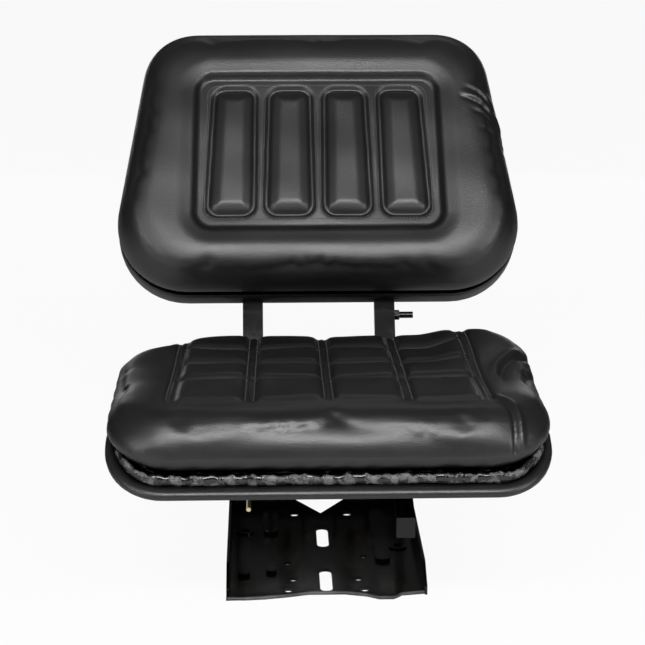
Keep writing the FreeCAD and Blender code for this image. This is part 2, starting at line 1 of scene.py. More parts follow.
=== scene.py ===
# %% [markdown]
# # A suspended tractor seat
# The seat stands on a slotted steel base plate. A leaning housing at the back holds two springs, a
# parallel linkage carries a slide, and on that ride two stamped pans with vinyl cushions. The steel comes
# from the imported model, which is loaded first and never moved. The soft parts and every finish are made here.

# %% Load the frame
import json
import math

import bmesh
import bpy
import numpy as np
from mathutils import Matrix, Vector
from mathutils.bvhtree import BVHTree


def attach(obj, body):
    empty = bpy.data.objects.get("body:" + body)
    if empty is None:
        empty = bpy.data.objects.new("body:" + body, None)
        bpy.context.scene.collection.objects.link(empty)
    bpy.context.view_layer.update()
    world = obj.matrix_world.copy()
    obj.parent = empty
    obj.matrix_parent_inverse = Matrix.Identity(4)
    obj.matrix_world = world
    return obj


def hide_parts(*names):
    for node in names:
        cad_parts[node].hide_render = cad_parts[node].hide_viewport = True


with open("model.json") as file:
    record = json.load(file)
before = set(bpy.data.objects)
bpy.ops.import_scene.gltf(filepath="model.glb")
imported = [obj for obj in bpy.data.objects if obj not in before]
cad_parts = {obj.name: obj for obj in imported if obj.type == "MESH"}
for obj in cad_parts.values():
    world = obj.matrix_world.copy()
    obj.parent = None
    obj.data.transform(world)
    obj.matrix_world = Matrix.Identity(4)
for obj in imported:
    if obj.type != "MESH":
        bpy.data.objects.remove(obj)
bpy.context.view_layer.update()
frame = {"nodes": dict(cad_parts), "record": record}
MM = 0.001

# %% [markdown]
# The photograph looks slightly down on the front of the seat from a little over two metres. The camera
# stands a little left of the middle and aims at the height of the cushion, so no lens shift is needed.

# %% Camera
CAMERA_AT = Vector((-66, -2224, 871)) * MM
AIM_AT = Vector((0, 0, 271)) * MM
camera = bpy.data.objects.new("camera", bpy.data.cameras.new("camera"))
camera.data.lens = 110.4
camera.location = CAMERA_AT
camera.rotation_mode = "QUATERNION"
camera.rotation_quaternion = (AIM_AT - CAMERA_AT).to_track_quat("-Z", "Y")
bpy.context.scene.collection.objects.link(camera)
bpy.context.scene.camera = camera
bpy.context.scene.view_settings.view_transform = "Standard"


# %% [markdown]
# Shader maths reads best as sums. A small class wraps a socket, so that 1 - mask adds the Math node by
# itself, and one method of the finish makes every other node.

# %% Sockets and finishes
COLOUR_A, COLOUR_B = 6, 7  # the Mix node's two colour inputs, whose names its other inputs share


class Value:
    def __init__(self, finish, socket):
        self.finish = finish
        self.socket = socket

    def _math(self, operation, a, b):
        return self.finish.node("ShaderNodeMath", {"operation": operation}, {0: a, 1: b})["Value"]

    def __add__(self, other):
        return self._math("ADD", self, other)

    def __radd__(self, other):
        return self._math("ADD", other, self)

    def __sub__(self, other):
        return self._math("SUBTRACT", self, other)

    def __rsub__(self, other):
        return self._math("SUBTRACT", other, self)

    def __mul__(self, other):
        return self._math("MULTIPLY", self, other)

    def __rmul__(self, other):
        return self._math("MULTIPLY", other, self)


class Finish:
    def __init__(self, name):
        self.material = bpy.data.materials.new(name)
        self.material.use_nodes = True
        self.tree = self.material.node_tree
        self.tree.nodes.clear()

    def node(self, kind, settings=None, sockets=None):
        made = self.tree.nodes.new(kind)
        for key, value in (settings or {}).items():
            setattr(made, key, value)
        for key, value in (sockets or {}).items():
            if isinstance(value, Value):
                self.tree.links.new(value.socket, made.inputs[key])
            else:
                made.inputs[key].default_value = value
        return {out.name: Value(self, out) for out in made.outputs if out.enabled}

    def place(self):
        return self.node("ShaderNodeTexCoord")["Object"]

    def noise(self, scale, detail, rough=0.5, place=None):
        sockets = {"Vector": place or self.place(), "Scale": scale, "Detail": detail, "Roughness": rough}
        return self.node("ShaderNodeTexNoise", None, sockets)["Fac"]

    def ramp(self, value, low, high):
        sockets = {"Value": value, "From Min": low, "From Max": high}
        return self.node("ShaderNodeMapRange", {"interpolation_type": "SMOOTHSTEP"}, sockets)["Result"]

    def mix(self, mask, a, b):
        sockets = {"Factor": mask, COLOUR_A: rgba(a), COLOUR_B: rgba(b)}
        return self.node("ShaderNodeMix", {"data_type": "RGBA"}, sockets)["Result"]

    def bump(self, height, strength, distance):
        sockets = {"Height": height, "Strength": strength, "Distance": distance}
        return self.node("ShaderNodeBump", None, sockets)["Normal"]

    def shade(self, sockets):
        shader = self.node("ShaderNodeBsdfPrincipled", None, sockets)["BSDF"]
        self.node("ShaderNodeOutputMaterial", None, {"Surface": shader})
        return self.material


def rgba(colour):
    return colour if isinstance(colour, Value) else (*colour, 1.0)


# %% [markdown]
# Thick black enamel is glossy, with the faint orange peel of paint that has flowed. A thin coat over a
# dark base gives that, and dust shows as a slightly rougher, paler film.

# %% Enamel and satin paint
def gloss_enamel():
    f = Finish("gloss_enamel")
    dust = f.ramp(f.noise(9.0, 5.0, 0.6), 0.50, 0.80)
    peel = f.noise(110.0, 2.0)
    colour = f.mix(dust, (0.0016, 0.0016, 0.0018), (0.0060, 0.0060, 0.0066))
    return f.shade({"Base Color": colour, "Roughness": 0.17 + dust * 0.16, "Specular IOR Level": 0.34,
                    "Coat Weight": 0.10, "Coat Roughness": 0.08, "Normal": f.bump(peel, 0.10, 0.0010)})


def satin_paint():
    f = Finish("satin_paint")
    cloud = f.ramp(f.noise(14.0, 4.0, 0.6), 0.35, 0.75)
    grain = f.noise(900.0, 2.0)
    colour = f.mix(cloud, (0.006, 0.006, 0.006), (0.011, 0.011, 0.0105))
    return f.shade({"Base Color": colour, "Roughness": 0.36 + cloud * 0.10, "Specular IOR Level": 0.3,
                    "Normal": f.bump(grain, 0.12, 0.0003)})


# %% [markdown]
# Yellow zinc is a thin chromate film over steel, so its colour drifts from straw to grey. The spring cups are
# bare pressed metal, duller than the turned rods.

# %% Bare and plated metal
def plated(name, pale, deep, rough):
    f = Finish(name)
    drift = f.ramp(f.noise(60.0, 3.0, 0.6), 0.35, 0.7)
    scratch = f.noise(700.0, 3.0)
    colour = f.mix(drift, pale, deep)
    return f.shade({"Base Color": colour, "Metallic": 1.0, "Roughness": rough + drift * 0.12,
                    "Normal": f.bump(scratch, 0.10, 0.0002)})


# The rolled edge is a paler grey satin than the enamel, blotched at random.
def pale_satin_edge():
    f = Finish("pale_satin_edge")
    blotch = f.ramp(f.noise(40.0, 4.0, 0.6), 0.35, 0.7)
    colour = f.mix(blotch, (0.03, 0.03, 0.03), (0.10, 0.10, 0.10))
    return f.shade({"Base Color": colour, "Roughness": 0.38 + blotch * 0.15, "Normal": f.bump(blotch, 0.1, 0.0004)})


gloss = gloss_enamel()
satin = satin_paint()
pale_satin = pale_satin_edge()
zinc = plated("yellow_zinc", (0.70, 0.62, 0.42), (0.55, 0.44, 0.22), 0.26)
bright = plated("bright_steel", (0.72, 0.72, 0.70), (0.55, 0.55, 0.54), 0.22)
cup_metal = plated("spring_cup_metal", (0.66, 0.65, 0.60), (0.44, 0.43, 0.39), 0.34)

FINISH_OF_SLOT = {"gloss_black": gloss, "satin_black": satin, "zinc_yellow": zinc, "bright_steel": bright,
                  "silver_cup": cup_metal}
for sub in frame["record"]["subparts"]:
    for holder in frame["nodes"][sub["node"]].material_slots:
        holder.material = FINISH_OF_SLOT.get(sub["material_slot"], gloss)


# %% [markdown]
# The cover is black vinyl with a fine pebble grain. Voronoi cells give the pebbles, a finer noise keeps
# them from looking even, and a slow drift makes some areas a little paler and rougher.

# %% Vinyl
def vinyl_cover():
    f = Finish("vinyl_cover")
    place = f.place()
    cells = f.node("ShaderNodeTexVoronoi", {"feature": "F1"}, {"Vector": place, "Scale": 560.0})["Distance"]
    fine = f.noise(1500.0, 2.0, 0.6, place)
    drift = f.ramp(f.noise(11.0, 4.0, 0.55, place), 0.3, 0.75)
    grain = cells * 0.7 + fine * 0.5
    colour = f.mix(drift, (0.0042, 0.0042, 0.0046), (0.0068, 0.0068, 0.0074))
    return f.shade({"Base Color": colour, "Roughness": 0.37 + drift * 0.05, "Specular IOR Level": 0.68,
                    "Normal": f.bump(grain, 0.22, 0.0006)})


def glue_bead():
    f = Finish("glue_bead")
    lumps = f.ramp(f.noise(75.0, 5.0, 0.65), 0.44, 0.62)
    colour = f.mix(lumps, (0.008, 0.008, 0.008), (0.13, 0.13, 0.13))
    return f.shade({"Base Color": colour, "Roughness": 0.16 + lumps * 0.30, "Specular IOR Level": 0.6,
                    "Normal": f.bump(lumps, 0.5, 0.0015)})


# Pale thread: its colour is real thread on the seat stitches and a painted highlight on the backrest weld
# lines.
def thread_and_weld_highlight():
    f = Finish("thread_and_weld_highlight")
    twist = f.noise(1400.0, 2.0)
    colour = f.mix(f.ramp(twist, 0.3, 0.7), (0.060, 0.060, 0.062), (0.150, 0.150, 0.154))
    return f.shade({"Base Color": colour, "Roughness": 0.5 + twist * 0.1,
                    "Normal": f.bump(twist, 0.3, 0.0003)})


vinyl = vinyl_cover()
glue = glue_bead()
stitch_and_weld_highlight = thread_and_weld_highlight()


# %% [markdown]
# A stamped pan has an outline of straight runs and round corners. The outline is walked once, arc by arc, and
# then evenly divided, so a ring of points can take any inset of it.

# %% Rounded outlines
RING = 160
ARC_STEPS = 12


def inset_corners(corners, depth):
    out = []
    count = len(corners)
    for i in range(count):
        a, b, c = (Vector(corners[(i + k) % count]) for k in (-1, 0, 1))
        u = (b - a).normalized()
        w = (c - b).normalized()
        nu = Vector((-u.y, u.x))
        nw = Vector((-w.y, w.x))
        out.append(b + (nu + nw) * (depth / (1.0 + nu.dot(nw))))
    return out


def rounded_outline(corners, radii, count):
    walk = []
    for i in range(len(corners)):
        a, b, c = (Vector(corners[(i + k) % len(corners)]) for k in (-1, 0, 1))
        u = (a - b).normalized()
        w = (c - b).normalized()
        half = u.angle(w) / 2.0
        mid = (u + w).normalized()
        centre = b + mid * (radii[i] / math.sin(half))
        p = b + u * (radii[i] / math.tan(half)) - centre
        q = b + w * (radii[i] / math.tan(half)) - centre
        for k in range(ARC_STEPS + 1):
            walk.append(centre + p.slerp(q, k / ARC_STEPS).normalized() * radii[i])
    steps = [(walk[(i + 1) % len(walk)] - walk[i]).length for i in range(len(walk))]
    total = sum(steps)
    ring = []
    i = 0
    past = 0.0
    for k in range(count):
        goal = total * k / count
        while past + steps[i] < goal:
            past += steps[i]
            i += 1
        ring.append(walk[i].lerp(walk[(i + 1) % len(walk)], (goal - past) / max(steps[i], 1e-9)))
    return ring


# %% [markdown]
# A cushion starts as a stack of rings. Every level takes its own inset of the outline, which gives the
# bulging side and the round shoulder, and two caps close it. A voxel remesh then makes an even skin.

# %% Stack of rings
def ring_form(name, levels, place):
    bm = bmesh.new()
    rows = [[bm.verts.new(place(level, i)) for i in range(RING)] for level in range(levels)]
    for lower, upper in zip(rows, rows[1:]):
        for i in range(RING):
            m = (i + 1) % RING
            bm.faces.new((lower[i], lower[m], upper[m], upper[i]))
    bm.faces.new(rows[0])
    bm.faces.new(rows[-1])
    bmesh.ops.recalc_face_normals(bm, faces=bm.faces)
    return link_piece(name, bm)


def link_piece(name, bm):
    mesh = bpy.data.meshes.new(name)
    bm.to_mesh(mesh)
    bm.free()
    piece = bpy.data.objects.new(name, mesh)
    bpy.context.scene.collection.objects.link(piece)
    return piece


def points_of(piece):
    flat = np.empty(len(piece.data.vertices) * 3, dtype=np.float32)
    piece.data.vertices.foreach_get("co", flat)
    return flat.reshape(-1, 3).astype(np.float64)


def normals_of(piece):
    flat = np.empty(len(piece.data.vertices) * 3, dtype=np.float32)
    piece.data.vertex_normals.foreach_get("vector", flat)
    return flat.reshape(-1, 3).astype(np.float64)


def put_points(piece, points):
    piece.data.vertices.foreach_set("co", points.astype(np.float32).ravel())
    piece.data.update()


def apply_modifiers(piece):
    graph = bpy.context.evaluated_depsgraph_get()
    graph.update()
    fresh = bpy.data.meshes.new_from_object(piece.evaluated_get(graph))
    piece.modifiers.clear()
    piece.data = fresh


def even_skin(piece, size):
    remesh = piece.modifiers.new("remesh", "REMESH")
    remesh.mode = "VOXEL"
    remesh.voxel_size = size
    smooth = piece.modifiers.new("smooth", "SMOOTH")
    smooth.iterations = 6
    apply_modifiers(piece)


# %% [markdown]
# Foam under vinyl presses outward everywhere, so the cover is inflated a little with the cloth solver.
# Only the travel along the normal is kept, and it is capped both ways, so the piece keeps the shape that
# its pan gives it.

# %% Inflate
SKIN_SIZE = 0.0046
CLOTH_FRAMES = 20


def inflate(piece, outward, inward):
    rest = points_of(piece)
    normals = normals_of(piece)
    cloth = piece.modifiers.new("cloth", "CLOTH")
    cloth.settings.use_pressure = True
    cloth.settings.uniform_pressure_force = 4.0
    cloth.settings.effector_weights.gravity = 0.0
    cloth.settings.quality = 4
    cloth.settings.tension_stiffness = 25.0
    cloth.settings.compression_stiffness = 25.0
    for number in range(1, CLOTH_FRAMES + 1):
        bpy.context.scene.frame_set(number)
    apply_modifiers(piece)
    bpy.context.scene.frame_set(1)
    travel = ((points_of(piece) - rest) * normals).sum(axis=1)
    print(piece.name, "cloth travel mm", [round(float(end) / MM, 1) for end in (travel.min(), travel.max())])
    swollen = outward * np.tanh(np.maximum(travel, 0.0) / outward)
    sunken = inward * np.tanh(np.minimum(travel, 0.0) / inward)
    put_points(piece, rest + normals * (swollen + sunken)[:, None])


def subdivide(piece):
    sub = piece.modifiers.new("subdivide", "SUBSURF")
    sub.levels = 1
    sub.render_levels = 1
    apply_modifiers(piece)


def shade_smooth(piece):
    piece.data.polygons.foreach_set("use_smooth", np.ones(len(piece.data.polygons), dtype=bool))


def bell(distance, width):
    return np.exp(-((distance / width) ** 2))


def step(value, low, high):
    t = np.clip((value - low) / (high - low), 0.0, 1.0)
    return t * t * (3.0 - 2.0 * t)


def waves(x, y, size, seed):
    total = np.sin(x / size + seed) * np.sin(y / (size * 0.83) + 2.0 * seed)
    total += 0.6 * np.sin((x + y) / (size * 0.61) + 3.0 * seed) * np.sin((x - 1.7 * y) / (size * 1.13) + seed)
    return total


def fold_height(x, y, fold):
    ax, ay, bx, by, width, height = fold
    rx, ry = bx - ax, by - ay
    long = math.hypot(rx, ry)
    t = ((x - ax) * rx + (y - ay) * ry) / long ** 2
    bow = 0.12 * long * np.sin(math.pi * np.clip(t, 0.0, 1.0))
    side = ((x - ax) * ry - (y - ay) * rx) / long + bow
    fade = step(t, -0.15, 0.3) * (1.0 - step(t, 0.8, 1.25))
    return height * fade * (bell(side, width) - 1.1 * bell(side - width * 1.3, width * 0.7))


def folds_at(x, y, folds):
    return sum(fold_height(x, y, fold) for fold in folds)


# %% [markdown]
# The seat cushion fills its pan. Its lower edge follows the rim, which dips at the front, and the front
# rolls over in a wide round. The top is sewn in four columns with three cross seams, and its rear corners
# rise, the right one more than the left.

# %% Seat cushion
SEAT_FRONT, ROLL_END = -296.0, -180.0
SEAT_CORNERS = [(-235, -296), (235, -296), (235, -34), (143, 67), (-143, 67), (-235, -34)]
SEAT_RADII = [62, 62, 60, 45, 45, 60]
RIM_LINE = [(-310, 166), (-297, 168), (-222, 205), (90, 200)]
SEAM_ROWS = (-147.0, -82.0, -15.0)
RIGHT_RISE, LEFT_RISE = 26.0, 7.0
SEAT_FOLDS = [(184, -158, 224, -66, 6, 2.4), (176, -222, 198, -288, 4.2, 3.4), (208, -150, 236, -96, 7, 0.8)]


def rim_height(y):
    return np.interp(y, [at for at, _ in RIM_LINE], [z for _, z in RIM_LINE])


def seat_top(y):
    return 247.0 - (y + 225.0) * 8.0 / 305.0


def front_share(y):
    return 1.0 - float(step(y, SEAT_FRONT, ROLL_END))


def front_lift(y):
    return 8.0 * (1.0 - float(step(y, -290.0, -200.0)))


def seam_spread(y):
    return 84.0 - (y + 225.0) * 4.0 / 281.0


SEAT_PROFILE = [(0.0, 18, 17), (0.07, 10, 12), (0.20, 2, 8), (0.36, -3, 6), (0.52, -2, 8), (0.66, 2, 13),
                (0.78, 8, 20), (0.88, 17, 30), (0.95, 29, 43), (1.0, 50, 68)]
seat_rings = []
for share, side_inset, front_inset in SEAT_PROFILE:
    radii = [max(12.0, r - side_inset * 0.5) for r in SEAT_RADII]
    ring = rounded_outline(inset_corners(SEAT_CORNERS, side_inset), radii, RING)
    seat_rings.append([(p, share, front_inset - side_inset) for p in ring])


def seat_place(level, i):
    p, share, extra = seat_rings[level][i]
    y = p.y + extra * front_share(p.y)
    low = rim_height(p.y) + 1.5 + front_lift(p.y)
    return Vector((p.x, y, low + share * (seat_top(y) - low))) * MM


def seat_depth(x, y):
    spread = seam_spread(y)
    column = np.min([np.abs(x - (i - 2) * spread) for i in range(5)], axis=0)
    row = np.min([np.abs(y - seam) for seam in SEAM_ROWS], axis=0)
    sewn = step(y, -240, -226)
    inside = (1.0 - step(np.abs(x), 2 * spread + 3, 2 * spread + 13)) * sewn
    inside_row = (1.0 - step(np.abs(x), 2 * spread - 4, 2 * spread + 4)) * sewn
    groove = -3.4 * bell(np.maximum(column - 3.5, 0.0), 3.6) * inside
    groove += 1.6 * bell(column, 3.0) * inside
    groove -= 4.6 * bell(row, 3.2) * inside_row * step(column, 3.0, 8.0)
    puff = (1.2 + 1.6 * step(column, 4.0, 18.0)) * step(row, 1.0, 13.0) * inside_row
    return groove + puff


def dress(piece, name, body, node):
    piece.data.materials.clear()
    piece.data.materials.append(vinyl)
    shade_smooth(piece)
    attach(piece, body)
    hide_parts(node)
    print(name, "faces", len(piece.data.polygons))


seat_cover = ring_form("seat_cover", len(seat_rings), seat_place)
even_skin(seat_cover, SKIN_SIZE)
inflate(seat_cover, outward=0.003, inward=0.0016)
subdivide(seat_cover)
at = points_of(seat_cover)
up = normals_of(seat_cover)[:, 2]
x, y = at[:, 0] / MM, at[:, 1] / MM
raised = seat_depth(x, y) + 1.2 * waves(x, y, 34.0, 1.3)
at[:, 2] += raised * MM * step(up, 0.25, 0.75)
at += normals_of(seat_cover) * (folds_at(x, y, SEAT_FOLDS) * MM * step(up, -0.2, 0.1))[:, None]
corner = RIGHT_RISE * step(x, 112, 196) * step(y, -170, 20)
corner += LEFT_RISE * step(-x, 112, 200) * step(y, -150, 20)
at[:, 2] += corner * MM * step(up, 0.05, 0.6)
low = 1.0 - step(at[:, 2] / MM - rim_height(y), 2.0, 34.0)
side = normals_of(seat_cover)
pleat = 1.1 * np.sin((x * 1.3 + y) / 6.5 + 2.0 * np.sin(x / 31.0)) * low
at[:, 0] += side[:, 0] * pleat * MM
at[:, 1] += side[:, 1] * pleat * MM
put_points(seat_cover, at)
dress(seat_cover, "seat cover", "carriage", "seat_cushion")

# %% [markdown]
# The backrest is built standing, then leaned like its pan. A dished panel sits in a thick round border,
# and four upright pads stand in the panel with a dark channel round each.

# %% Backrest cushion
BACK_DEG = 33.0
BACK_AT = Vector((0, 165.0, 257.0)) * MM
BACK_TALL = 337.0
BACK_CORNERS = [(-262, 0), (262, 0), (208, BACK_TALL), (-208, BACK_TALL)]
BACK_RADII = [85, 85, 66, 66]
LEAN = Matrix.Translation(BACK_AT) @ Matrix.Rotation(-math.radians(BACK_DEG), 4, "X")
PANEL = (151.0, 147.0, 66.0, 265.0)
PAD_LOW, PAD_HIGH = 84.0, 249.0
PAD_X = (-105.0, -35.0, 35.0, 105.0)
BACK_FOLDS = [(189, 252, 222, 226, 3.8, 1.8), (183, 240, 230, 204, 4.2, 2.3), (196, 222, 234, 190, 3.8, 1.7),
              (205, 198, 240, 174, 3.8, 1.0)]
BACK_PROFILE = [(18.6, 6), (23, 1), (32, -2), (44, -2.5), (56, 0), (66, 5), (74, 12), (79, 21), (82, 36)]
back_rings = []
for forward, inset in BACK_PROFILE:
    radii = [max(20.0, r - inset * 0.6) for r in BACK_RADII]
    ring = rounded_outline(inset_corners(BACK_CORNERS, inset), radii, RING)
    back_rings.append([Vector((p.x, -forward, p.y)) * MM for p in ring])


def box_distance(x, v, half, mid, tall, radius):
    dx = np.abs(x) - half + radius
    dv = np.abs(v - mid) - tall / 2.0 + radius
    outside = np.hypot(np.maximum(dx, 0.0), np.maximum(dv, 0.0))
    return outside + np.minimum(np.maximum(dx, dv), 0.0) - radius


def panel_distance(x, v):
    share = (v - PANEL[2]) / (PANEL[3] - PANEL[2])
    half = PANEL[0] + (PANEL[1] - PANEL[0]) * share
    return box_distance(x, v, half, (PANEL[2] + PANEL[3]) / 2.0, PANEL[3] - PANEL[2], 20.0)


def pad_shape(share):
    return 28.0 - 3.5 * share, 1.03 - 0.06 * share


def pad_distance(x, v):
    half, scale = pad_shape((v - PAD_LOW) / (PAD_HIGH - PAD_LOW))
    mid, tall = (PAD_LOW + PAD_HIGH) / 2.0, PAD_HIGH - PAD_LOW
    return np.min([box_distance(x - at * scale, v, half, mid, tall, 13.0) for at in PAD_X], axis=0)


def back_depth(x, v):
    panel = panel_distance(x, v)
    pad = pad_distance(x, v)
    dish = -8.0 * (1.0 - step(panel, -3.0, 5.0)) - 1.6 * bell(panel - 1.5, 3.0)
    channel = -4.6 * bell(pad - 0.5, 2.9)
    puff = 4.2 * (1.0 - step(pad, -17.0, -0.5))
    border = -3.0 * (1.0 - step(panel, 3.0, 26.0))
    return dish + channel + puff + border


back_cover = ring_form("back_cover", len(back_rings), lambda level, i: back_rings[level][i])
even_skin(back_cover, SKIN_SIZE)
inflate(back_cover, outward=0.003, inward=0.0012)
subdivide(back_cover)
at = points_of(back_cover)
out = -normals_of(back_cover)[:, 1]
x, v = at[:, 0] / MM, at[:, 2] / MM
bulge = 5.0 * (1.0 - ((v - 165.0) / 170.0) ** 2)
raised = back_depth(x, v) + bulge + 0.7 * waves(x, v, 37.0, 2.1)
at[:, 1] -= raised * MM * step(out, 0.25, 0.75)
at += normals_of(back_cover) * (folds_at(x, v, BACK_FOLDS) * MM * step(out, -0.2, 0.1))[:, None]
put_points(back_cover, at)
back_cover.data.transform(LEAN)
dress(back_cover, "back cover", "carriage", "backrest_cushion")

# %% [markdown]
# The cover is drawn round the rim of each pan and glued down, so a strip of vinyl edges the steel and a
# ragged line of glue shows beside it. One sweep round the outline makes the strip, a second one the glue.

# %% Sweep round an outline
def sweep(name, ring, section, put, closed=True):
    bm = bmesh.new()
    rows = [[bm.verts.new(put(i, p, inset, off)) for inset, off in section] for i, p in enumerate(ring)]
    for i in range(len(rows) if closed else len(rows) - 1):
        a, b = rows[i], rows[(i + 1) % len(rows)]
        for k in range(len(section)):
            m = (k + 1) % len(section)
            bm.faces.new((a[k], b[k], b[m], a[m]))
    bmesh.ops.recalc_face_normals(bm, faces=bm.faces)
    piece = link_piece(name, bm)
    shade_smooth(piece)
    return piece


def finish_piece(piece, material, body):
    piece.data.materials.append(material)
    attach(piece, body)


def outline_with_in(corners, radii, count):
    ring = rounded_outline(corners, radii, count)
    out = []
    for i in range(count):
        along = ring[(i + 1) % count] - ring[i - 1]
        out.append((ring[i], Vector((-along.y, along.x)).normalized()))
    return out


def seat_put(i, point, inset, off):
    p, inward = point
    soft = 0.7 * math.sin(i * 0.9) * math.sin(i * 0.23 + 1.0) if inset > 5 and off < -2 else 0.0
    q = p + inward * (inset + soft)
    return Vector((q.x, q.y, float(rim_height(q.y)) + off + soft * 0.8)) * MM


def back_put(i, point, inset, off):
    p, inward = point
    soft = 0.6 * math.sin(i * 0.8) * math.sin(i * 0.19 + 2.0) if inset > 5 and off > 2 else 0.0
    q = p + inward * (inset + soft)
    return LEAN @ (Vector((q.x, off + soft, q.y)) * MM)


SEAT_STRIP = [(9, 0.4), (5, 1.6), (1, 1.9), (-1.6, 0.2), (-2.2, -3), (-1.4, -6.2), (2, -8.2), (8, -7),
              (17, -4.9), (26, -4.2), (28, -3.4), (27, -1.4), (10, -1.0)]
BACK_STRIP = [(0.8, -17.6), (-0.6, -17.4), (-1.6, -10), (-1.8, 2), (-1.2, 11), (1.5, 15.2), (6, 16.2),
              (15, 15.8), (26, 15.2), (28.5, 14.4), (27, 13.2), (3, 13.0), (0.9, 11)]
seat_line = outline_with_in(SEAT_CORNERS, SEAT_RADII, 300)
back_line = outline_with_in(BACK_CORNERS, BACK_RADII, 300)
seat_strip = sweep("seat_edge_strip", seat_line, SEAT_STRIP, seat_put)
finish_piece(seat_strip, vinyl, "carriage")
back_strip = sweep("back_edge_strip", back_line, BACK_STRIP, back_put)
finish_piece(back_strip, vinyl, "carriage")


# %% [markdown]
# Glue squeezes out in blobs, so the bead swells, thins and wanders. Its lumps are sums of a few sines,
# which give the same bead on every run. At the front a wider band of it shows between cover and lip.

# %% Glue lines
def ragged(i, seed):
    blobs = 0.5 + 0.5 * math.sin(i * 0.71 + seed) * math.sin(i * 0.313 + 2 * seed)
    return blobs + 0.25 * math.sin(i * 1.9 + seed)


def bead_section(rise, reach):
    return [(reach * math.cos(a), rise * math.sin(a)) for a in (0.0, 1.05, 2.09, 3.14, 4.19, 5.24)]


def glue_line(name, outline, put, inset, level, rise, reach, seed):
    def placed(i, point, du, dv):
        size = 0.35 + max(0.0, ragged(i, seed))
        wander = 1.8 * math.sin(i * 0.37 + seed) * math.sin(i * 0.11)
        return put(0, point, inset + wander + du * size, level + dv * size)
    line = sweep(name, outline, bead_section(rise, reach), placed)
    finish_piece(line, glue, "carriage")


fine_seat = outline_with_in(SEAT_CORNERS, SEAT_RADII, 460)
fine_back = outline_with_in(BACK_CORNERS, BACK_RADII, 460)


def foot_put(i, point, inset, off):
    p, inward = point
    q = p + inward * inset
    return Vector((q.x, q.y - 1.5 * front_share(p.y), float(rim_height(p.y)) + front_lift(p.y) + off)) * MM


def band_put(i, point, inset, off):
    wavy = inset + 0.9 * math.sin(i * 0.31) + 0.5 * ragged(i, 0.4)
    return foot_put(i, point, wavy, off * (0.8 + 0.3 * ragged(i, 2.2)))


BAND = [(9.6, 9.5), (7.4, 8.5), (6.6, 5.0), (7.2, 0.0), (9.5, -2.6), (14, -2.0), (13, 7.0)]
BAND_END = -252.0
front_run = [point for point in fine_seat if point[0].y < BAND_END]
seat_band = sweep("seat_front_band", front_run, BAND, band_put, closed=False)
finish_piece(seat_band, glue, "carriage")
glue_line("seat_front_glue", fine_seat, foot_put, inset=15.5, level=0.0, rise=2.2, reach=1.6, seed=0.7)
glue_line("seat_under_glue", fine_seat, seat_put, inset=28.5, level=-3.4, rise=1.6, reach=1.9, seed=1.9)
glue_line("back_rear_glue", fine_back, back_put, inset=28.8, level=14.6, rise=1.4, reach=1.8, seed=3.1)


# %% [markdown]
# The front edge of the base plate is rolled under, and the roll is a paler satin grey than the plate.

# %% Rolled front edge of the base
BASE_FRONT = [(-111, -179), (-92, -180), (-70, -178), (-45, -173), (-20, -166), (0, -165), (20, -166),
              (45, -173), (51, -177), (58, -181), (74, -181), (79, -177), (84, -171), (97, -168), (111, -166)]
ROLL_LEVEL = 2.3


def roll_put(i, point, inset, off):
    return Vector((point[0], point[1] + inset, ROLL_LEVEL + off)) * MM


base_roll = sweep("base_front_roll", BASE_FRONT, bead_section(2.1, 1.9), roll_put, closed=False)
finish_piece(base_roll, pale_satin, "base")

# %% [markdown]
# Every stitch is a short lozenge of thread laid on the finished cover. The seat has a double row along each
# channel. A fine welded line runs round the panel and each pad of the backrest, laid with the same pale
# lozenges;
# there the pale colour is a painted highlight of the weld edge.

# %% Stitches
def surface_of(piece):
    graph = bpy.context.evaluated_depsgraph_get()
    graph.update()
    return BVHTree.FromObject(piece.evaluated_get(graph), graph)


def stitch_row(bm, tree, points, aim, length, width, lift, pitch=1.45):
    for a, b in zip(points, points[1:]):
        along = (b - a).normalized()
        count = max(1, int((b - a).length / (length * pitch)))
        for k in range(count):
            start = a.lerp(b, (k + 0.5) / count)
            hit, normal, _, _ = tree.ray_cast(start, aim)
            if hit is None:
                continue
            normal = normal if normal.dot(aim) < 0 else -normal
            run = (along - normal * along.dot(normal)).normalized() * (length / 2)
            side = normal.cross(run).normalized() * (width / 2)
            tips = [bm.verts.new(hit + run), bm.verts.new(hit - run)]
            high = [bm.verts.new(hit + half_run + normal * lift) for half_run in (run * 0.5, run * -0.5)]
            low = [bm.verts.new(hit + side), bm.verts.new(hit - side)]
            bm.faces.new((tips[0], high[0], low[0]))
            bm.faces.new((tips[0], low[1], high[0]))
            bm.faces.new((tips[1], low[0], high[1]))
            bm.faces.new((tips[1], high[1], low[1]))
            bm.faces.new((high[0], high[1], low[0]))
            bm.faces.new((high[1], high[0], low[1]))


seat_tree = surface_of(seat_cover)
bm = bmesh.new()
DOWN = Vector((0, 0, -1))
CAST_HEIGHT, CAST_BEFORE = 400, -150
for i in range(5):
    for shift in (-4.6, 4.6):
        run = [Vector(((i - 2) * seam_spread(y) + shift, y, CAST_HEIGHT)) * MM for y in range(-232, 66, 12)]
        stitch_row(bm, seat_tree, run, DOWN, length=0.0036, width=0.0016, lift=0.0008)
seat_stitches = link_piece("seat_stitches", bm)
finish_piece(seat_stitches, stitch_and_weld_highlight, "carriage")


# The weld lines take the pale thread finish, so their pale colour is a painted highlight along the weld edge.
def weld_loop(bm, corners, radius, count, width):
    ring = rounded_outline(corners, [radius] * 4, count)
    loop = [LEAN @ (Vector((p.x, CAST_BEFORE, p.y)) * MM) for p in ring]
    stitch_row(bm, back_tree, loop + loop[:1], BACKWARD, length=0.0040, width=width, lift=0.0006, pitch=0.8)


